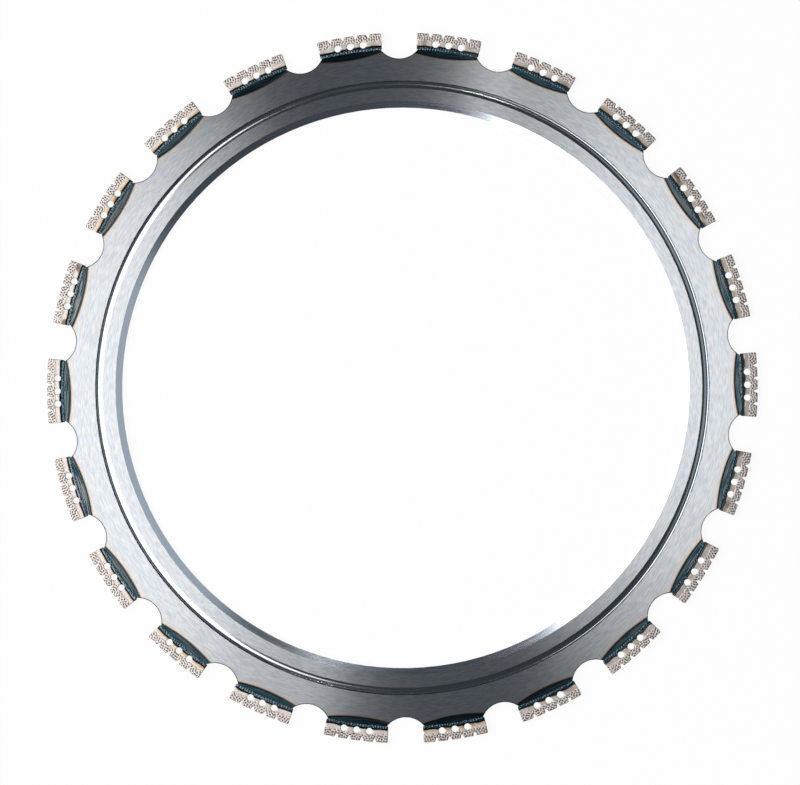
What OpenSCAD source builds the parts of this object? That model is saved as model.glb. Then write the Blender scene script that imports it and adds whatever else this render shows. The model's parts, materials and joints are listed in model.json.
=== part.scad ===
// Ring saw blade: a flat steel ring with diamond segments welded round its rim.
// The ring lies in the XY plane and its axis is Z. The origin is the ring's centre, halfway through the core.
// Segment 1 is centred on +X, and the numbers run counter-clockwise seen from +Z.

/* [Blade] */
// Diameter over the diamond segments
blade_d = 370; // [350:1:400]
// Number of diamond segments round the rim
segment_count = 22; // [18:1:24]

/* [Core] */
// Thickness of the steel core
core_t = 3.4; // [3:0.1:4]
// Diameter of the open middle, at the driving edge
drive_d = 291.8; // [280:0.2:300]
// Width of the driving bevel on each face
bevel_w = 3.5; // [2.5:0.1:4.5]
// Slope of the driving bevel from the core's face, in degrees
bevel_slope = 15; // [10:0.5:20]
// Edge break on the two corners of the driving edge
drive_edge_break = 0.2; // [0.1:0.05:0.4]

/* [Guide groove] */
// Diameter of the groove at its deepest line
groove_d = 317.6; // [310:0.2:326]
// Depth of the groove in each face
groove_depth = 0.85; // [0.5:0.05:1.2]
// Width of the hollow flank, towards the driving edge
groove_inner_w = 2.7; // [2:0.1:4]
// Width of the short steep flank, towards the rim
groove_outer_w = 1.2; // [0.8:0.1:2]

/* [Gullets] */
// Radius of a gullet, between two teeth
gullet_r = 12.4; // [11:0.1:13.5]
// Depth of a gullet below the weld seam
gullet_depth = 5; // [3:0.1:8]
// Edge break round a gullet
gullet_edge_break = 0.15; // [0.05:0.05:0.3]

/* [Weld reliefs] */
// Radius of the grinding wheel that leaves the relief's curved edge
relief_wheel_r = 86; // [70:1:120]
// Greatest reach of a relief, inwards from the weld seam
relief_reach = 3.8; // [3:0.1:6]
// Distance of that greatest reach from the tooth's middle, counter-clockwise
relief_shift = 2.2; // [0:0.1:4]
// Depth of a relief in each face
relief_depth = 0.25; // [0.1:0.05:0.5]
// Width of the sloping edge of a relief
relief_edge_w = 0.5; // [0.2:0.1:1]

/* [Weld beads] */
// Width of the weld bead on each face
bead_w = 1.6; // [0.8:0.1:2]
// Distance from the weld seam to the bead's middle, outwards
bead_shift = 0.3; // [0:0.1:0.6]
// Height of the weld bead above the relief
bead_h = 0.2; // [0.1:0.05:0.35]

/* [Segments] */
// Length of a segment, straight across its rim
segment_len = 33.9; // [30:0.1:38]
// Height of a segment, from the weld seam to the rim
segment_h = 8.5; // [7:0.1:12]
// Thickness of a segment over its diamond layer
segment_t = 4.4; // [4:0.1:5]
// Height of the diamond layer, from the rim
diamond_h = 3.9; // [2:0.1:4.6]
// How far the smooth backing layer lies below the diamond layer, on each face
backing_drop = 0.1; // [0.05:0.05:0.3]
// Height of the thin foot, from the weld seam to the backing layer
foot_h = 1.9; // [1:0.1:3]
// Width of the slope from the foot up to the backing layer, on each face
shoulder_w = 0.5; // [0.2:0.1:0.8]
// Edge break along the rim
rim_edge_break = 0.3; // [0.1:0.05:0.6]
// Edge break on the ends at the rim
end_edge_break = 0.5; // [0.2:0.1:1]

/* [Holes and slots] */
// Number of holes in a segment, with a slot between each two and one past each end
hole_count = 3; // [1:1:3]
// Distance from a hole to the next, and from a slot to the next
cell_pitch = 6.7; // [5:0.1:8]
// Diameter of a hole
hole_d = 3.4; // [2:0.1:3.8]
// Distance of a hole's centre from the rim
hole_drop = 5.4; // [5.2:0.1:6.2]
// Width of a slot at the rim
slot_mouth_w = 1.9; // [1.2:0.1:2.6]
// Width of a slot at its root
slot_root_w = 1; // [0.6:0.1:1.2]
// Depth of a slot from the rim
slot_depth = 2; // [1:0.1:2.8]

/* [Hidden] */
pitch_angle = 360 / segment_count;
first_hole = -(hole_count - 1) / 2;

// Radii from the blade's axis
rim_r = blade_d / 2;
weld_r = rim_r - segment_h;
drive_r = drive_d / 2;
groove_r = groove_d / 2;
hole_circle_r = rim_r - hole_drop;
diamond_r = rim_r - diamond_h;

// Heights above the middle of the core
core_z = core_t / 2;
drive_z = core_z - bevel_w * tan(bevel_slope);
groove_z = core_z - groove_depth;
relief_z = core_z - relief_depth;
diamond_z = segment_t / 2;
backing_z = diamond_z - backing_drop;

// Both flanks of the groove are hollow arcs that meet level at its deepest line
inner_flank_r = arc_radius(groove_inner_w, groove_depth);
outer_flank_r = arc_radius(groove_outer_w, groove_depth);

// The gullet's circle is set by its depth, and it ends the teeth on both sides
gullet_centre_r = weld_r - gullet_depth + gullet_r;
gullet_half_angle = angle_between(weld_r, gullet_centre_r, gullet_r);
tooth_half_angle = pitch_angle / 2 - gullet_half_angle;
segment_half_angle = asin(segment_len / 2 / rim_r);

// The bead is a low arc that stands on the relief, astride the seam
bead_r = arc_radius(bead_w / 2, bead_h);
bead_mid_r = weld_r + bead_shift;

// What is cut away reaches this far past the material
past = 1;
// Sides of the large and the small rounds
ring_sides = 360;
small_sides = 48;

// The name of a segment's node, such as segment_07
function segment_name(i) = str("segment_", i < 10 ? "0" : "", i);

// Radius of an arc that rises by rise over half of its chord
function arc_radius(half_chord, rise) = (half_chord * half_chord + rise * rise) / (2 * rise);

// Angle at the axis between radii a and b, whose ends lie c apart
function angle_between(a, b, c) = acos((a * a + b * b - c * c) / (2 * a * b));

// Angle at the axis of a point that lies u to the side at radius r
function side_angle(u, r) = asin(u / r);

// A section's upper points, followed by the same points below the middle of the core
function both_sides(upper) =
    concat(upper, [for (i = [len(upper) - 1:-1:0]) [upper[i][0], -upper[i][1]]]);

module on_both_faces() {
    children();
    mirror([0, 0, 1]) children();
}

module at_each_tooth() {
    for (i = [0:segment_count - 1]) rotate(i * pitch_angle) children();
}

// The ring's section, from the driving edge to the weld seam
module core_section() {
    break_rise = drive_edge_break * tan(bevel_slope);
    polygon(both_sides([
        [drive_r, drive_z - drive_edge_break],
        [drive_r + drive_edge_break, drive_z + break_rise],
        [drive_r + bevel_w, core_z],
        [weld_r, core_z]
    ]));
}

// One flank of the groove: an arc that is level at the deepest line, cut off at from_r and from_r + width
module flank_section(flank_r, from_r, width) {
    intersection() {
        translate([groove_r, groove_z + flank_r]) circle(flank_r, $fn = ring_sides);
        translate([from_r, groove_z - past]) square([width, groove_depth + past]);
    }
    translate([from_r, core_z]) square([width, past]);
}

// The groove's section: a wide hollow flank towards the driving edge and a short steep one towards the rim
module groove_section() {
    flank_section(inner_flank_r, groove_r - groove_inner_w, groove_inner_w);
    flank_section(outer_flank_r, groove_r, groove_outer_w);
}

// A round gullet with its edge break on both faces
module gullet_cut() {
    rotate(pitch_angle / 2) translate([gullet_centre_r, 0]) {
        cylinder(r = gullet_r, h = core_t + 2 * past, center = true, $fn = ring_sides);
        on_both_faces() translate([0, 0, core_z - gullet_edge_break])
            cylinder(
                r1 = gullet_r,
                r2 = gullet_r + gullet_edge_break + past,
                h = gullet_edge_break + past,
                $fn = ring_sides
            );
    }
}

// What the grinding wheel takes off a tooth, under the weld
module relief_cut() {
    edge_rise = past * relief_depth / relief_edge_w;
    translate([weld_r - relief_reach + relief_wheel_r, relief_shift, relief_z])
        cylinder(
            r1 = relief_wheel_r - relief_edge_w,
            r2 = relief_wheel_r + past,
            h = relief_depth + edge_rise,
            $fn = ring_sides
        );
}

module core() {
    color("silver")
    difference() {
        rotate_extrude($fn = ring_sides) core_section();
        on_both_faces() rotate_extrude($fn = ring_sides) groove_section();
        at_each_tooth() {
            gullet_cut();
            on_both_faces() relief_cut();
        }
    }
}

// A segment's section: the thin foot at the seam, the smooth backing and the diamond layer
module segment_section() {
    polygon(both_sides([
        [weld_r, relief_z],
        [weld_r + foot_h - shoulder_w, relief_z],
        [weld_r + foot_h, backing_z],
        [diamond_r - backing_drop, backing_z],
        [diamond_r, diamond_z],
        [rim_r - rim_edge_break, diamond_z],
        [rim_r, diamond_z - rim_edge_break]
    ]));
}

// A segment's outline seen from the side, with its ends along the blade's radii
module segment_outline() {
    far = rim_r / cos(segment_half_angle) + past;
    corner = [rim_r * cos(segment_half_angle), rim_r * sin(segment_half_angle)];
    difference() {
        polygon([
            [0, 0],
            far * [cos(segment_half_angle), sin(segment_half_angle)],
            far * [cos(segment_half_angle), -sin(segment_half_angle)]
        ]);
        for (side = [-1, 1])
            translate([corner[0], side * corner[1]])
                rotate(45)
                square(end_edge_break * sqrt(2), center = true);
    }
}

// A slot's outline: a wedge that opens towards the rim, with a round root
module slot_outline() {
    root_r = slot_root_w / 2;
    flare = (slot_mouth_w - slot_root_w) / 2 / (slot_depth - root_r);
    root_x = rim_r - slot_depth + root_r;
    mouth_x = rim_r + past;
    mouth_w = slot_root_w + 2 * flare * (mouth_x - root_x);
    polygon([
        [root_x, -root_r],
        [mouth_x, -mouth_w / 2],
        [mouth_x, mouth_w / 2],
        [root_x, root_r]
    ]);
    translate([root_x, 0]) circle(root_r, $fn = small_sides);
}

module hole_cuts() {
    for (k = [0:hole_count - 1])
        rotate(side_angle((first_hole + k) * cell_pitch, hole_circle_r))
            translate([hole_circle_r, 0])
            cylinder(d = hole_d, h = segment_t + 2 * past, center = true, $fn = small_sides);
}

module slot_cuts() {
    for (k = [0:hole_count])
        rotate(side_angle((first_hole + k - 0.5) * cell_pitch, rim_r))
            linear_extrude(segment_t + 2 * past, center = true) slot_outline();
}

// The weld bead's section: a low arc over the seam, with a root that goes into the segment
module bead_section() {
    intersection() {
        translate([bead_mid_r, relief_z + bead_h - bead_r]) circle(bead_r, $fn = small_sides);
        union() {
            translate([bead_mid_r - bead_w, relief_z]) square([2 * bead_w, 2 * bead_h]);
            translate([bead_mid_r, relief_z - bead_h]) square([bead_w, 2 * bead_h]);
        }
    }
}

// The weld bead on both faces, as long as the tooth is wide at the seam
module weld_bead() {
    on_both_faces()
        rotate(-tooth_half_angle)
        rotate_extrude(angle = 2 * tooth_half_angle, $fn = ring_sides)
        bead_section();
}

module segment_blank() {
    intersection() {
        rotate_extrude($fn = ring_sides) segment_section();
        linear_extrude(segment_t + 2 * past, center = true) segment_outline();
    }
}

module segment(i) {
    color("dimgray")
    rotate((i - 1) * pitch_angle) {
        difference() {
            segment_blank();
            hole_cuts();
            slot_cuts();
        }
        weld_bead();
    }
}

core();
for (i = [1:segment_count]) {
    segment(i);
}
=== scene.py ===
import json
import math

import bpy
import numpy as np
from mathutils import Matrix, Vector


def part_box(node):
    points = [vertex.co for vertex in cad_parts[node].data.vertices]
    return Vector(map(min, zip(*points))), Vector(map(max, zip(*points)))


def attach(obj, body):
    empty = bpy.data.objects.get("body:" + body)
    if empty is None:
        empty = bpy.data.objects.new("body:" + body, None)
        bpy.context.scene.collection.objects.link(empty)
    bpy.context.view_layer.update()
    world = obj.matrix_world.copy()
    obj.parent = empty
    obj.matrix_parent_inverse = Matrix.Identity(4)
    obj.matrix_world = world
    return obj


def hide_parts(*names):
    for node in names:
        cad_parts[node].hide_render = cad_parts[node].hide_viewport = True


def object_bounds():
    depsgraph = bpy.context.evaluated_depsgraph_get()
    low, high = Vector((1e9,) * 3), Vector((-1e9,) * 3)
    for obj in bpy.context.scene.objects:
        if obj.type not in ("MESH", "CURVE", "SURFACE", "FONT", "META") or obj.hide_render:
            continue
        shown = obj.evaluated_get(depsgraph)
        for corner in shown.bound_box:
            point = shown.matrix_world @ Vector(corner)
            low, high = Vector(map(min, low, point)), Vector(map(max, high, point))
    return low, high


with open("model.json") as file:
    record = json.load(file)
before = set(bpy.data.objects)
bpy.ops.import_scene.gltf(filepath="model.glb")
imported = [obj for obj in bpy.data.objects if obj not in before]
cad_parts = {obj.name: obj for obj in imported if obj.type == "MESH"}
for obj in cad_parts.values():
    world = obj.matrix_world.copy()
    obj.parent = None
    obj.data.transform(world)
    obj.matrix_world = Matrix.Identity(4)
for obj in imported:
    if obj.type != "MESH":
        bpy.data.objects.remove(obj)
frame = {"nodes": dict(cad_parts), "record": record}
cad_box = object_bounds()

# Sizes of the blade, in metres, from the frame where it has them
MM = 0.001
MOUNTS = {m["name"]: m for m in frame["record"]["mounts"]}
SEGMENT_NODES = sorted(n for n in frame["nodes"] if n.startswith("segment_"))
PITCH = 2 * math.pi / len(SEGMENT_NODES)
RIM_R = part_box(SEGMENT_NODES[0])[1].x
TOP_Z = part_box(SEGMENT_NODES[0])[1].z
DRIVE_R = MOUNTS["drive_edge"]["dims"]["r_mm"] * MM
CORE_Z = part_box("core")[1].z
BEVEL_SLOPE = math.radians(15)
# A ring of this width at the driving edge holds the whole bevel, and nothing of the groove
BEVEL_RING = 5 * MM

# The segments' heights and radii: the weld at their inner edge, the foot and the diamond layer
SEGMENT_HEIGHT = 8.5 * MM
FOOT_HEIGHT = 1.9 * MM
BEAD_SHIFT = 0.3 * MM
DIAMOND_HEIGHT = 3.9 * MM
WELD_R = RIM_R - SEGMENT_HEIGHT
FOOT_R = WELD_R + FOOT_HEIGHT
BEAD_R = WELD_R + BEAD_SHIFT
GRIT_R = RIM_R - DIAMOND_HEIGHT

# The gullets between the teeth: circles, cut this deep below the weld
GULLET_R = 12.4 * MM
GULLET_DEPTH = 5 * MM
GULLET_CENTRE_R = WELD_R - GULLET_DEPTH + GULLET_R

# The guide groove: its deepest line, and the radii of the arcs that its two flanks are
GROOVE_R = MOUNTS["guide_groove_upper"]["pos_m"][0]
INNER_FLANK_R = 4.713 * MM
OUTER_FLANK_R = 1.272 * MM
# The steepest lean that the inner flank shows, as a sine: its edge shines as if worn a little
STEEPEST_LEAN = 0.42

# The ground relief under each weld, as its circle in a tooth's own directions
RELIEF_WHEEL_R = 86 * MM
RELIEF_REACH = 3.8 * MM
RELIEF_SHIFT = 2.2 * MM
RELIEF_DEPTH = 0.25 * MM
RELIEF_CENTRE_V = WELD_R - RELIEF_REACH + RELIEF_WHEEL_R

# Roughness below this is read as a mirror by the denoiser, which then leaves grain on the faces
SMOOTHEST_GROUND = 0.28

# The view: straight down, with the ring where the photograph has it
PHOTO_W, PHOTO_H = 800, 785
PHOTO_RING_CENTRE = (402.45, 387.88)
PHOTO_RIM_DIAMETER = 710.8
PHOTO_FIRST_SEGMENT = math.radians(0.54)
CAMERA_HEIGHT = 8.0
CAMERA_CLIP_END = 20.0
SENSOR = 36.0
LAMP_DISTANCE = 6.0

# The floor, and the share of it that is plain white to the camera: the rest keeps the shadow
FLOOR_HALF_WIDTH = 3.0
FLOOR_WHITENESS = 0.94

# The studio round the blade, and the grey that only the camera sees in its place
STUDIO_COLOUR = (0.78, 0.88, 1.0, 1)
STUDIO_LEVEL = 0.088
PAST_THE_FLOOR = 0.8


def grey(level):
    """A level as a colour, which the colour nodes can mix."""
    return (level, level, level, 1)


def link(obj):
    """Puts an object into the scene and gives it back."""
    bpy.context.scene.collection.objects.link(obj)
    return obj


class Nodes:
    """A short way to write the nodes of a material or the world."""

    def __init__(self, tree):
        self.tree = tree
        tree.nodes.clear()

    def add(self, kind, **settings):
        made = self.tree.nodes.new("ShaderNode" + kind)
        for key, value in settings.items():
            setattr(made, key, value)
        return made

    def wire(self, source, socket):
        """Sets a socket from a number, a colour or another node's output."""
        if isinstance(source, bpy.types.NodeSocket):
            self.tree.links.new(source, socket)
        elif source is not None:
            socket.default_value = source

    def math(self, operation, a, b=None):
        made = self.add("Math", operation=operation)
        for socket, source in zip(made.inputs, (a, b)):
            self.wire(source, socket)
        return made.outputs[0]

    def plus(self, a, b):
        return self.math("ADD", a, b)

    def minus(self, a, b):
        return self.math("SUBTRACT", a, b)

    def times(self, a, b):
        return self.math("MULTIPLY", a, b)

    def over(self, a, b):
        return self.math("DIVIDE", a, b)

    def spread(self, value, low, high, to_low=0.0, to_high=1.0):
        """Maps low..high to to_low..to_high smoothly, and holds the ends."""
        made = self.add("MapRange", interpolation_type="SMOOTHSTEP")
        for name, source in zip(
            ("Value", "From Min", "From Max", "To Min", "To Max"), (value, low, high, to_low, to_high)
        ):
            self.wire(source, made.inputs[name])
        return made.outputs["Result"]

    def mix(self, factor, a, b, blend="MIX"):
        made = self.add("Mix", data_type="RGBA", blend_type=blend)
        self.wire(factor, made.inputs["Factor"])
        self.wire(a, made.inputs[6])
        self.wire(b, made.inputs[7])
        return made.outputs[2]

    def ramp(self, factor, *stops):
        """A colour ramp from (place, colour) pairs."""
        made = self.add("ValToRGB")
        elements = made.color_ramp.elements
        elements.remove(elements[1])
        elements[0].position, elements[0].color = stops[0][0], (*stops[0][1], 1)
        for place, colour in stops[1:]:
            elements.new(place).color = (*colour, 1)
        self.wire(factor, made.inputs["Fac"])
        return made.outputs["Color"]

    def noise(self, vector, scale=1.0, detail=2.0, roughness=0.5):
        made = self.add("TexNoise")
        self.wire(vector, made.inputs["Vector"])
        made.inputs["Scale"].default_value = scale
        made.inputs["Detail"].default_value = detail
        made.inputs["Roughness"].default_value = roughness
        return made.outputs["Fac"]

    def vector(self, x, y, z):
        made = self.add("CombineXYZ")
        for socket, source in zip(made.inputs, (x, y, z)):
            self.wire(source, socket)
        return made.outputs[0]

    def bump(self, height, distance, normal=None):
        made = self.add("Bump")
        self.wire(normal, made.inputs["Normal"])
        self.wire(height, made.inputs["Height"])
        made.inputs["Distance"].default_value = distance
        made.inputs["Strength"].default_value = 1.0
        return made.outputs["Normal"]

    def attribute(self, name):
        return self.add("Attribute", attribute_name=name).outputs["Fac"]


class BladeNodes(Nodes):
    """Nodes with the blade's own directions: outwards, round the ring and along a tooth."""

    def __init__(self, tree):
        super().__init__(tree)
        self.place = self.add("TexCoord").outputs["Object"]
        split = self.add("SeparateXYZ")
        self.wire(self.place, split.inputs[0])
        self.x, self.y, self.z = split.outputs
        flat = self.plus(self.times(self.x, self.x), self.times(self.y, self.y))
        self.r = self.math("SQRT", flat)
        self.turn = self.over(self.math("ARCTAN2", self.y, self.x), PITCH)
        self.tooth = self.math("ROUND", self.turn)
        self.u, self.v = self.beside(self.minus(self.turn, self.tooth))
        self.outwards = self.over(self.x, self.r), self.over(self.y, self.r)

    def beside(self, pitches):
        """Places beside and along a radius that lies so many pitches away."""
        angle = self.times(pitches, PITCH)
        return (
            self.times(self.r, self.math("SINE", angle)),
            self.times(self.r, self.math("COSINE", angle)),
        )

    def away_from(self, u, v, centre_v):
        """How far the place (u, v) lies from (0, centre_v)."""
        dv = self.minus(v, centre_v)
        squares = self.plus(self.times(u, u), self.times(dv, dv))
        return self.math("SQRT", squares)

    def round_the_ring(self, length, width):
        """Coordinates for streaks of that length round the ring and that width across it."""
        along = RIM_R / length
        return self.vector(
            self.times(self.outwards[0], along),
            self.times(self.outwards[1], along),
            self.times(self.r, 1 / width),
        )

    def inside_relief(self):
        """How far a point lies inside the relief's curved edge, in metres."""
        du = self.minus(self.u, RELIEF_SHIFT)
        away = self.away_from(du, self.v, RELIEF_CENTRE_V)
        return self.minus(RELIEF_WHEEL_R, away)

    def outside_gullet(self):
        """How far a point lies from the edge of the nearest gullet, in metres."""
        u, v = self.beside(self.minus(self.math("FRACT", self.turn), 0.5))
        return self.minus(self.away_from(u, v, GULLET_CENTRE_R), GULLET_R)

    def leaning(self, sine):
        """The normal of a turned surface that leans outwards by an angle of that sine."""
        cosine = self.math("SQRT", self.minus(1.0, self.times(sine, sine)))
        return self.vector(
            self.times(self.outwards[0], sine),
            self.times(self.outwards[1], sine),
            self.times(self.math("SIGN", self.z), cosine),
        )

    def groove_lean(self):
        """The sine of the groove's lean, which its arcs set, so that its shine has no facets."""
        inwards = self.minus(GROOVE_R, self.r)
        inner = self.math("MAXIMUM", self.over(inwards, INNER_FLANK_R), 0.0)
        inner = self.math("MINIMUM", inner, STEEPEST_LEAN)
        outer = self.math("MINIMUM", self.over(inwards, OUTER_FLANK_R), 0.0)
        return self.plus(inner, outer)


def metal(name):
    """A new material, its nodes and its metal shader."""
    made = bpy.data.materials.new(name)
    made.use_nodes = True
    nodes = BladeNodes(made.node_tree)
    shader = nodes.add("BsdfPrincipled")
    shader.inputs["Metallic"].default_value = 1.0
    out = nodes.add("OutputMaterial")
    nodes.wire(shader.outputs[0], out.inputs["Surface"])
    return made, nodes, shader


def brush_round(nodes, shader, amount):
    """Spreads highlights outwards and inwards, as marks round the ring do."""
    quarter_turn = 0.25
    shader.inputs["Anisotropic"].default_value = amount
    shader.inputs["Anisotropic Rotation"].default_value = quarter_turn
    tangent = nodes.add("Tangent", direction_type="RADIAL", axis="Z")
    nodes.wire(tangent.outputs[0], shader.inputs["Tangent"])


def ground_steel():
    """The core's faces: ground round the ring, with a warm tint towards the welds."""
    made, n, shader = metal("ground_steel")
    dull, bright = (0.82, 0.855, 0.90, 1), (0.885, 0.89, 0.895, 1)
    scored, warm, gullet_edge_dark = (0.80, 0.81, 0.82, 1), (0.84, 0.74, 0.67, 1), (0.12, 0.115, 0.115, 1)
    fine = n.noise(n.round_the_ring(5 * MM, 0.5 * MM), detail=1.0)
    broad = n.noise(n.round_the_ring(5 * MM, 1.1 * MM), detail=1.0)
    cloud = n.noise(n.place, 1 / (14 * MM))
    steel = n.mix(n.spread(broad, 0.3, 0.7), dull, bright)
    steel = n.mix(n.spread(fine, 0.3, 0.7), n.mix(1.0, steel, scored, "MULTIPLY"), steel)
    edge = n.inside_relief()
    steel = n.mix(n.spread(edge, -5.0 * MM, -0.3 * MM, 0.0, 0.35), steel, warm)
    fringe = n.ramp(
        n.spread(edge, -0.95 * MM, 0.25 * MM),
        (0.0, (0.78, 0.71, 0.66)),
        (0.45, (0.66, 0.49, 0.34)),
        (0.72, (0.32, 0.21, 0.14)),
        (1.0, (0.04, 0.045, 0.05)),
    )
    steel = n.mix(n.spread(edge, -0.95 * MM, -0.45 * MM), steel, fringe)
    # A thin dark band along the gullets' edges, fully dark within 0.25 mm and gone by 0.55 mm
    steel = n.mix(n.spread(n.outside_gullet(), 0.25 * MM, 0.55 * MM, 1.0, 0.0), steel, gullet_edge_dark)
    n.wire(steel, shader.inputs["Base Color"])
    marks = n.plus(fine, n.times(cloud, 0.5))
    n.wire(n.spread(marks, 0.4, 1.1, SMOOTHEST_GROUND, 0.3), shader.inputs["Roughness"])
    brush_round(n, shader, 1.0)
    n.wire(n.bump(fine, 0.004 * MM), shader.inputs["Normal"])
    return made


def turned_steel(name, dark, light, smoothest, roughest, brushed, lean):
    """The driving bevel or the guide groove: turned, so smoother than the faces.

    lean gives the sine of its outward lean, from the material's nodes.
    """
    made, n, shader = metal(name)
    rings = n.noise(n.round_the_ring(25 * MM, 0.6 * MM), detail=1.0)
    n.wire(n.mix(rings, (*dark, 1), (*light, 1)), shader.inputs["Base Color"])
    n.wire(n.spread(rings, 0.3, 0.7, smoothest, roughest), shader.inputs["Roughness"])
    brush_round(n, shader, brushed)
    n.wire(n.bump(rings, 0.0004 * MM, normal=n.leaning(lean(n))), shader.inputs["Normal"])
    return made


def tinted_relief():
    """The relief under a weld: blued by heat, with streaks along the wheel's path."""
    made, n, shader = metal("tinted_relief")
    deep_blue, pale_blue = (0.010, 0.052, 0.074, 1), (0.045, 0.108, 0.138, 1)
    bare_and_sheen_brown, bare_and_sheen_grey = (0.21, 0.185, 0.17, 1), (0.40, 0.375, 0.36, 1)
    # The colour of the painted shade along the relief's edge
    relief_edge_shade = (0.03, 0.035, 0.04, 1)
    # The teeth are this far apart in the noise, so that each has its own streaks
    apart = 7.3
    edge = n.inside_relief()
    streak = n.noise(
        n.vector(
            n.times(n.u, 1 / (14 * MM)),
            n.times(edge, 1 / (0.5 * MM)),
            n.times(n.tooth, apart),
        ),
        detail=3.0, roughness=0.6,
    )
    blue = n.mix(n.spread(streak, 0.35, 0.6), deep_blue, pale_blue)
    # Bare lines in the middle: partly ground streaks, partly painted sheen. They are laid most on the
    # teeth to the left and right, where the lamps' sheen falls, and greyest at the left
    side = n.over(n.x, n.r)
    sheen_at_sides = n.spread(n.times(side, side), 0.0, 1.0, 0.15, 0.9)
    bare_and_sheen = n.times(n.spread(streak, 0.43, 0.57), sheen_at_sides)
    bare_and_sheen = n.times(bare_and_sheen, n.spread(edge, 0.5 * MM, 1.4 * MM))
    bare_and_sheen = n.times(bare_and_sheen, n.spread(side, -0.995, -0.97, 0.45, 1.0))
    sheen_at_left = n.spread(side, -1.0, -0.8, 1.0, 0.0)
    tint = n.mix(bare_and_sheen, blue, n.mix(sheen_at_left, bare_and_sheen_brown, bare_and_sheen_grey))
    # Painted shade: the relief is dark along its curved edge, fully so within 0.15 mm of it and gone
    # by 0.9 mm
    tint = n.mix(n.spread(edge, 0.15 * MM, 0.9 * MM), relief_edge_shade, tint)
    n.wire(tint, shader.inputs["Base Color"])
    n.wire(n.spread(streak, 0.3, 0.7, SMOOTHEST_GROUND, 0.34), shader.inputs["Roughness"])
    brush_round(n, shader, 1.0)
    n.wire(n.bump(streak, 0.012 * MM), shader.inputs["Normal"])
    return made


def cut_wall():
    """The gullets' walls: cut through the thickness, with fine lines across it."""
    made, n, shader = metal("cut_wall")
    fineness = 1 / (0.25 * MM)
    lines = n.noise(n.vector(n.times(n.x, fineness), n.times(n.y, fineness), n.z))
    n.wire(n.mix(lines, (0.08, 0.08, 0.085, 1), (0.18, 0.175, 0.175, 1)), shader.inputs["Base Color"])
    shader.inputs["Roughness"].default_value = 0.42
    n.wire(n.bump(lines, 0.02 * MM), shader.inputs["Normal"])
    return made


def dress_core():
    """Gives each face of the core its own finish, by where the face lies."""
    core = frame["nodes"]["core"]
    core.data.materials.clear()
    finishes = (
        ground_steel(),
        turned_steel(
            "turned_bevel", (0.51, 0.57, 0.625), (0.61, 0.655, 0.705),
            smoothest=0.13, roughest=0.16, brushed=0.32, lean=lambda n: -math.sin(BEVEL_SLOPE),
        ),
        turned_steel(
            "turned_groove", (0.34, 0.375, 0.40), (0.42, 0.445, 0.465),
            smoothest=0.12, roughest=0.17, brushed=0.3, lean=BladeNodes.groove_lean,
        ),
        tinted_relief(),
        cut_wall(),
    )
    for finish in finishes:
        core.data.materials.append(finish)
    ground, bevel, groove, tinted, cut = range(len(finishes))
    face_z, relief_z = CORE_Z - 0.01 * MM, CORE_Z - 1.1 * RELIEF_DEPTH
    wall_normal = 0.3
    for face in core.data.polygons:
        x, y, z = face.center
        r = math.hypot(x, y)
        angle = math.atan2(y, x)
        angle -= round(angle / PITCH) * PITCH
        u, v = r * math.sin(angle), r * math.cos(angle)
        in_relief = math.hypot(u - RELIEF_SHIFT, v - RELIEF_CENTRE_V) < RELIEF_WHEEL_R
        if abs(z) >= face_z:
            face.material_index = ground
        elif r < DRIVE_R + BEVEL_RING:
            face.material_index = bevel
        elif r < (DRIVE_R + WELD_R) / 2:
            face.material_index = groove
        elif in_relief and abs(z) > relief_z and abs(face.normal.z) > wall_normal:
            face.material_index = tinted
        else:
            face.material_index = cut


# The segments: a fine mesh of each, with its own grit, tint and weld ripples
VOXEL = 0.25 * MM
# The diamond layer's ragged edge, and the maze of hollows in it with finer pits
EDGE_WAVE, EDGE_RAGGED = 2.2 * MM, 0.3 * MM
MAZE_WAVE, FINE_WAVE = 1.3 * MM, 0.62 * MM
MAZE_DEPTH, FINE_DEPTH = 0.14 * MM, 0.05 * MM
# The weld bead: level to the first distance from its middle line and gone at the second
BEAD_LEVEL, BEAD_EDGE = 0.45 * MM, 1.05 * MM
RIPPLE_PITCH, LUMP_WAVE = 0.95 * MM, 1.3 * MM
RIPPLE_HEIGHT, LUMP_HEIGHT, BEAD_SINK = 0.03 * MM, 0.1 * MM, 0.035 * MM
# How many waves make up each of these patterns, and those that the heat tints follow
EDGE_WAVES, MAZE_WAVES, LUMP_WAVES, TINT_WAVES = 12, 36, 16, 10
# How strong the straw tint is on each segment, in their order
STRAW = (
    0.5, 0.6, 0.6, 1.0, 0.4, 0.3, 0.15, 0.5, 1.3, 1.5, 0.5,
    0.05, 0.15, 0.45, 1.1, 0.1, 0.3, 1.3, 0.2, 0.4, 0.4, 0.6,
)
# By a segment's place in that order: how far smoke browned its ends and how much darker its grit is,
# and how much grey its foot gets: partly bare metal left by the heat, partly painted sheen, most on
# the left segments
SMOKE = {2: 1.1, 4: 0.6, 5: 0.7, 6: 0.4, 10: 1.15, 13: 0.3, 18: 0.5, 20: 0.4, 21: 0.7}
FAINT_SMOKE = 0.12
DARKER_GRIT = {15: 0.04, 16: 0.16, 17: 0.18, 18: 0.08}
FOOT_BARE_AND_SHEEN = {
    5: 0.15, 7: 0.35, 8: 0.3, 9: 0.3, 10: 0.5, 11: 0.1, 12: 0.8, 13: 0.65, 14: 0.4,
    15: 0.25, 19: 0.15, 20: 0.2, 21: 0.1,
}
# Drops of weld metal on each segment, their scatter off the bead's line and their sizes in mm,
# and the angle to which they lie on each side of its middle
DROPS = 90
DROP_SCATTER, DROP_SIZES = 0.35, (0.1, 0.27)
DROP_HALF_ANGLE = 0.297 * PITCH
DROP_SINK = 0.1 * MM
DROP_RINGS, DROP_SIDES = 4, 7
# Each segment's own random draws start from this seed and its place
FIRST_SEED = 100
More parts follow.
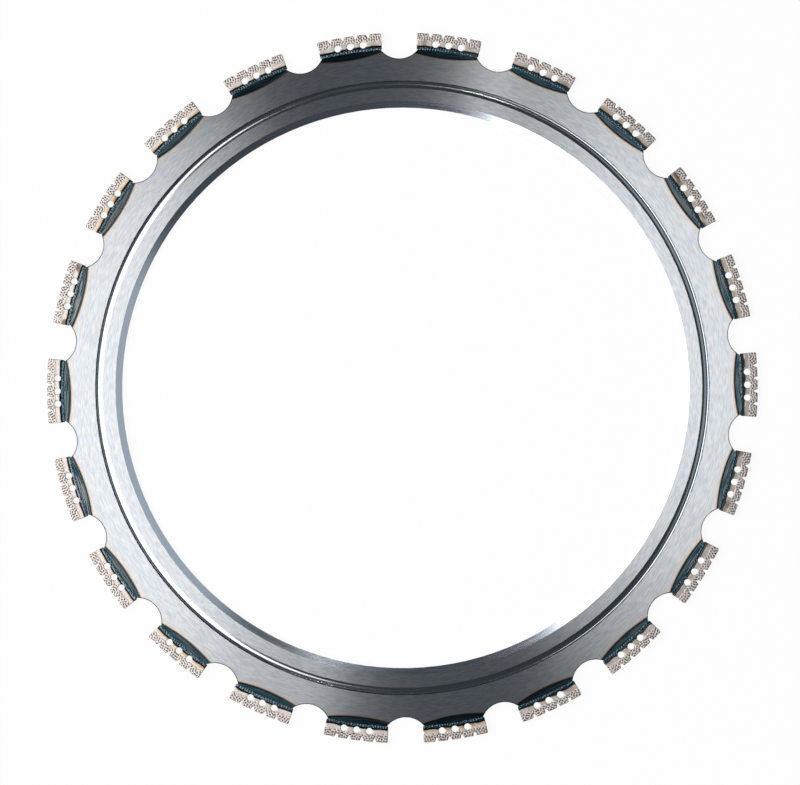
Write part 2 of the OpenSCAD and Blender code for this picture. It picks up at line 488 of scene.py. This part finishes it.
# The segments' sides are shaded as if they leaned outwards by this slope
LEAN = math.tan(math.radians(4))


def smooth(value, low, high):
    """0 below low, 1 above high and smooth between them."""
    t = np.clip((value - low) / (high - low), 0, 1)
    return t * t * (3 - 2 * t)


def waves(rng, places, length, count):
    """Plane waves of one length in random directions: a maze of ridges and hollows.

    Their mean is about 0 and their standard deviation about 1.
    """
    angles = rng.uniform(0, 2 * math.pi, count)
    directions = np.stack([np.cos(angles), np.sin(angles), rng.uniform(-1, 1, count)])
    phases = rng.uniform(0, 2 * math.pi, count)
    sums = np.cos(places @ (directions * 2 * math.pi / length) + phases).sum(1)
    return sums / math.sqrt(count / 2)


def fine_mesh(node):
    """A dense, even copy of a CAD node: its vertices, faces and outward normals."""
    source = frame["nodes"][node]
    trial = link(bpy.data.objects.new("trial", source.data.copy()))
    remesh = trial.modifiers.new("even", "REMESH")
    remesh.mode = "VOXEL"
    remesh.voxel_size = VOXEL
    shown = trial.evaluated_get(bpy.context.evaluated_depsgraph_get())
    mesh = shown.to_mesh()
    places = np.zeros(len(mesh.vertices) * 3)
    normals = np.zeros(len(mesh.vertices) * 3)
    mesh.vertices.foreach_get("co", places)
    mesh.vertices.foreach_get("normal", normals)
    faces = [tuple(f.vertices) for f in mesh.polygons]
    shown.to_mesh_clear()
    bpy.data.objects.remove(trial)
    return places.reshape(-1, 3), faces, normals.reshape(-1, 3)


def spatter(rng, count, first_vertex):
    """Small drops of weld metal along the seam, on both sides: their vertices and faces."""
    rings, sides = DROP_RINGS, DROP_SIDES
    places, faces = [], []
    for _ in range(count):
        angle = rng.uniform(-DROP_HALF_ANGLE, DROP_HALF_ANGLE)
        r = BEAD_R + rng.normal(0, DROP_SCATTER) * MM
        size = rng.uniform(*DROP_SIZES) * MM
        side = rng.choice((-1, 1))
        centre = np.array([r * math.cos(angle), r * math.sin(angle), side * (CORE_Z - DROP_SINK)])
        start = first_vertex + len(places)
        for i in range(rings):
            tilt = math.pi / 2 * i / (rings - 1)
            for k in range(sides):
                turn = 2 * math.pi * k / sides
                flat = math.cos(tilt)
                out = (flat * math.cos(turn), flat * math.sin(turn), side * math.sin(tilt))
                places.append(centre + size * np.array(out))
        for i in range(rings - 1):
            for k in range(sides):
                a, b = start + i * sides + k, start + i * sides + (k + 1) % sides
                quad = (a, b, b + sides, a + sides)
                faces.append(quad if side > 0 else quad[::-1])
    return np.array(places), faces


def diamond_layer(rng, places, r):
    """The diamond layer and the hollows in it, each 0..1, and how far its maze sinks."""
    ragged = waves(rng, places, EDGE_WAVE, EDGE_WAVES) * EDGE_RAGGED
    diamond = smooth(r + ragged, GRIT_R - 0.2 * MM, GRIT_R + 0.3 * MM)
    maze = waves(rng, places, MAZE_WAVE, MAZE_WAVES)
    fine = waves(rng, places, FINE_WAVE, MAZE_WAVES)
    hollow = smooth(-maze - 0.2 * fine, 0.0, 0.9) * diamond
    sink = MAZE_DEPTH * hollow + FINE_DEPTH * diamond * smooth(fine, -0.5, 1.5)
    return diamond, hollow, sink


def weld_bead(rng, places, on_side, r, along):
    """The weld bead, 0..1, and how far its ripples and lumps rise."""
    from_line = np.abs(r - BEAD_R)
    beading = 1 - smooth(from_line, BEAD_LEVEL, BEAD_EDGE)
    pulse = np.abs(np.sin(math.pi * (along + 0.6 * from_line) / RIPPLE_PITCH))
    lumps = waves(rng, places, LUMP_WAVE, LUMP_WAVES)
    rise = beading * on_side * (RIPPLE_HEIGHT * pulse + LUMP_HEIGHT * lumps - BEAD_SINK)
    return beading, rise


def heat_tints(rng, index, places, r, along, diamond):
    """How far the weld's heat blued and browned a segment and tinted it straw, and the grey on its
    foot: partly bare metal, partly painted sheen.
    """
    # The tints start from a line near the foot's upper edge that wavers a little
    line = FOOT_R - 0.15 * MM + 0.06 * MM * waves(rng, places, 6 * MM, TINT_WAVES)
    above = (r - line) / MM
    strength = STRAW[index]
    flat_places = places * (1, 1, 0)
    uneven = 0.4 + 0.6 * smooth(waves(rng, flat_places, 11 * MM, TINT_WAVES), -1.2, 1.0)
    cloudy = smooth(waves(rng, flat_places, 7 * MM, TINT_WAVES), -1.2, 1.2)
    smoke = SMOKE.get(index, FAINT_SMOKE) * smooth(np.abs(along), 4 * MM, 14 * MM) * cloudy
    heat = 1 - smooth(above, -0.4, 0.7 + 0.5 * cloudy)
    heat = np.maximum(heat, 0.42 * smoke) * (1 - diamond)
    straw = strength * uneven * (1 - smooth(above, 0.4, 0.9 + 1.3 * strength)) * (1 - diamond)
    # Grey on the foot: partly bare metal, partly painted sheen where the lamps fall
    bare_and_sheen = FOOT_BARE_AND_SHEEN.get(index, 0) * (0.7 + 0.5 * cloudy) * (1 - smooth(above, -0.6, 0.1))
    return heat, straw, bare_and_sheen


def segment_piece(index, node, shape, finish):
    """One segment with its own pattern of grit, ripples and heat tint."""
    places, faces, normals = shape
    rng = np.random.default_rng(FIRST_SEED + index)
    r = np.hypot(places[:, 0], places[:, 1])
    along = np.arctan2(places[:, 1], places[:, 0]) * RIM_R

    diamond, hollow, sink = diamond_layer(rng, places, r)
    beading, rise = weld_bead(rng, places, np.abs(normals[:, 2]), r, along)
    places = places + normals * (rise - sink)[:, None]
    places[:, 2] = np.clip(places[:, 2], -TOP_Z, TOP_Z)
    heat, straw, bare_and_sheen = heat_tints(rng, index, places, r, along, diamond)
    # Darker grit on the four segments at the bottom
    hollow = hollow + DARKER_GRIT.get(index, 0)

    drops, drop_faces = spatter(rng, DROPS, len(places))
    places = np.concatenate([places, drops])
    faces = faces + drop_faces
    on_seam = rng.uniform(0.4, 0.75) * beading
    tints = {
        "hollow": hollow, "diamond": diamond, "weld_heat": heat, "straw": straw, "foot_bare_and_sheen": bare_and_sheen,
    }
    tints = {name: np.concatenate([values, np.zeros(len(drops))]) for name, values in tints.items()}
    tints["weld_metal"] = np.concatenate([on_seam, np.ones(len(drops))])

    # The mesh is the first segment's, so it is turned to this one's place
    cosine, sine = math.cos(index * PITCH), math.sin(index * PITCH)
    places = places @ np.array([[cosine, sine, 0], [-sine, cosine, 0], [0, 0, 1]])

    mesh = bpy.data.meshes.new(node + "_sintered")
    mesh.from_pydata(places.tolist(), [], faces)
    mesh.polygons.foreach_set("use_smooth", np.ones(len(faces), bool))
    for name, values in tints.items():
        held = mesh.attributes.new(name, "FLOAT", "POINT")
        held.data.foreach_set("value", values.astype(np.float32))
    mesh.materials.append(finish)
    piece = link(bpy.data.objects.new(node + "_sintered", mesh))
    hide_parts(node)
    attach(piece, "root")


def sintered_metal():
    """The segments: gritty towards the rim, smooth below it and blued at the weld."""
    made, n, shader = metal("sintered_metal")
    hollow, diamond, weld_metal = map(n.attribute, ("hollow", "diamond", "weld_metal"))
    heat, straw, bare_and_sheen = map(n.attribute, ("weld_heat", "straw", "foot_bare_and_sheen"))
    dark_backing, light_backing = (0.615, 0.555, 0.515, 1), (0.76, 0.685, 0.635, 1)
    # The grey of the foot: bare metal with painted sheen
    bare_metal_sheen = (0.38, 0.385, 0.40, 1)
    speck = n.noise(n.place, 1 / (0.5 * MM), detail=3.0, roughness=0.6)
    cloud = n.noise(n.place, 1 / (3.5 * MM))
    scratch = n.noise(n.round_the_ring(6 * MM, 0.4 * MM), roughness=0.6)
    cloud = n.times(n.plus(cloud, scratch), 0.5)
    backing = n.mix(n.spread(cloud, 0.35, 0.65), dark_backing, light_backing)
    gold = n.ramp(
        n.times(straw, 0.7),
        (0.0, (0.73, 0.69, 0.66)),
        (0.35, (0.67, 0.51, 0.33)),
        (0.7, (0.60, 0.395, 0.18)),
        (1.0, (0.38, 0.22, 0.10)),
    )
    # Painted shade: the grit's colour darkens into the maze's hollows
    grit = n.ramp(
        n.plus(hollow, n.spread(speck, 0.3, 0.7, -0.12, 0.12)),
        (0.0, (0.82, 0.76, 0.72)),
        (0.4, (0.46, 0.40, 0.365)),
        (0.9, (0.16, 0.125, 0.11)),
    )
    scorched = n.ramp(
        heat,
        (0.0, (0.62, 0.54, 0.48)),
        (0.35, (0.33, 0.25, 0.195)),
        (0.65, (0.06, 0.047, 0.042)),
        (0.95, (0.016, 0.03, 0.04)),
    )
    # The foot's grey: partly bare metal, partly painted sheen
    scorched = n.mix(bare_and_sheen, scorched, bare_metal_sheen)
    bead = n.ramp(weld_metal, (0.6, (0.06, 0.105, 0.13)), (1.0, (0.22, 0.275, 0.31)))
    colour = n.mix(n.spread(straw, 0.0, 0.4), backing, gold)
    colour = n.mix(n.spread(heat, 0.0, 0.35), colour, scorched)
    colour = n.mix(diamond, colour, grit)
    colour = n.mix(n.spread(weld_metal, 0.1, 0.5), colour, bead)
    n.wire(colour, shader.inputs["Base Color"])
    rough = n.mix(n.spread(heat, 0.3, 0.6), grey(0.45), grey(0.3))
    rough = n.mix(diamond, rough, grey(0.55))
    n.wire(rough, shader.inputs["Roughness"])
    leaning = n.times(n.r, LEAN)
    height = n.minus(n.times(speck, 0.03 * MM), leaning)
    n.wire(n.bump(height, 1.0), shader.inputs["Normal"])
    return made


def make_segments():
    """All the segments, from one fine mesh of the first."""
    shape = fine_mesh(SEGMENT_NODES[0])
    finish = sintered_metal()
    for index, node in enumerate(SEGMENT_NODES):
        segment_piece(index, node, shape, finish)


def make_floor():
    """A white table under the blade, which keeps a soft shadow."""
    half, z = FLOOR_HALF_WIDTH, cad_box[0].z
    mesh = bpy.data.meshes.new("floor")
    corners = [(-half, -half, z), (half, -half, z), (half, half, z), (-half, half, z)]
    mesh.from_pydata(corners, [], [(0, 1, 2, 3)])
    floor = link(bpy.data.objects.new("floor", mesh))
    made = bpy.data.materials.new("floor_white")
    made.use_nodes = True
    n = Nodes(made.node_tree)
    diffuse = n.add("BsdfDiffuse")
    diffuse.inputs["Color"].default_value = grey(0.95)
    glow = n.add("Emission")
    glow.inputs["Strength"].default_value = 1.0
    path = n.add("LightPath")
    seen = n.math("MAXIMUM", path.outputs["Is Camera Ray"], path.outputs["Is Glossy Ray"])
    seen = n.math("MAXIMUM", seen, path.outputs["Is Transmission Ray"])
    blend = n.add("MixShader")
    n.wire(n.times(seen, FLOOR_WHITENESS), blend.inputs[0])
    n.wire(diffuse.outputs[0], blend.inputs[1])
    n.wire(glow.outputs[0], blend.inputs[2])
    out = n.add("OutputMaterial")
    n.wire(blend.outputs[0], out.inputs["Surface"])
    mesh.materials.append(made)


def make_world():
    """A pale grey to the camera, past the floor's edge, and a dim even studio to all else."""
    world = bpy.data.worlds.new("studio")
    bpy.context.scene.world = world
    world.use_nodes = True
    n = Nodes(world.node_tree)
    dim = n.add("Background")
    dim.inputs["Color"].default_value = STUDIO_COLOUR
    dim.inputs["Strength"].default_value = STUDIO_LEVEL
    pale = n.add("Background")
    pale.inputs["Color"].default_value = grey(PAST_THE_FLOOR)
    pale.inputs["Strength"].default_value = 1.0
    blend = n.add("MixShader")
    n.wire(n.add("LightPath").outputs["Is Camera Ray"], blend.inputs[0])
    n.wire(dim.outputs[0], blend.inputs[1])
    n.wire(pale.outputs[0], blend.inputs[2])
    out = n.add("OutputWorld")
    n.wire(blend.outputs[0], out.inputs["Surface"])


def softbox(name, azimuth, from_zenith, width, height, radiance, colour=(1, 1, 1)):
    """An area light that faces the blade's centre.

    Width runs round the blade, and height up from the table. The angles are in degrees.
    """
    a, e = math.radians(azimuth), math.radians(from_zenith)
    direction = Vector((math.cos(a) * math.sin(e), math.sin(a) * math.sin(e), math.cos(e)))
    place = LAMP_DISTANCE * direction
    light = bpy.data.lights.new(name, "AREA")
    light.shape = "RECTANGLE"
    light.size, light.size_y = width, height
    light.energy = radiance * width * height * math.pi
    light.color = colour
    lamp = link(bpy.data.objects.new(name, light))
    lamp.location = place
    lamp.rotation_euler = place.to_track_quat("Z", "Y").to_euler()


def make_lights():
    """A large lamp at the left, a small cool one at the right and a narrow bright strip."""
    softbox("softbox_left", azimuth=186.7, from_zenith=33.2, width=8.56, height=4.4, radiance=3.38)
    softbox(
        "softbox_right", azimuth=12, from_zenith=28, width=3.8, height=2.8, radiance=0.57,
        colour=(0.87, 0.935, 1.0),
    )
    softbox("strip", azimuth=73.4, from_zenith=22.4, width=0.0625, height=0.39, radiance=76)


def make_camera():
    """Looks straight down, from so far that the view has almost no perspective."""
    size = 2 * RIM_R / PHOTO_RIM_DIAMETER
    off_x = (PHOTO_RING_CENTRE[0] - PHOTO_W / 2) * size
    off_y = (PHOTO_H / 2 - PHOTO_RING_CENTRE[1]) * size
    roll = -PHOTO_FIRST_SEGMENT
    data = bpy.data.cameras.new("camera")
    data.sensor_width = SENSOR
    data.lens = SENSOR * CAMERA_HEIGHT / (PHOTO_W * size)
    data.clip_end = CAMERA_CLIP_END
    camera = link(bpy.data.objects.new("camera", data))
    camera.location = (
        -(off_x * math.cos(roll) - off_y * math.sin(roll)),
        -(off_x * math.sin(roll) + off_y * math.cos(roll)),
        CAMERA_HEIGHT + TOP_Z,
    )
    camera.rotation_euler = (0, 0, roll)
    bpy.context.scene.camera = camera


bpy.context.scene.view_settings.view_transform = "Standard"
make_camera()
dress_core()
make_segments()
make_floor()
make_world()
make_lights()
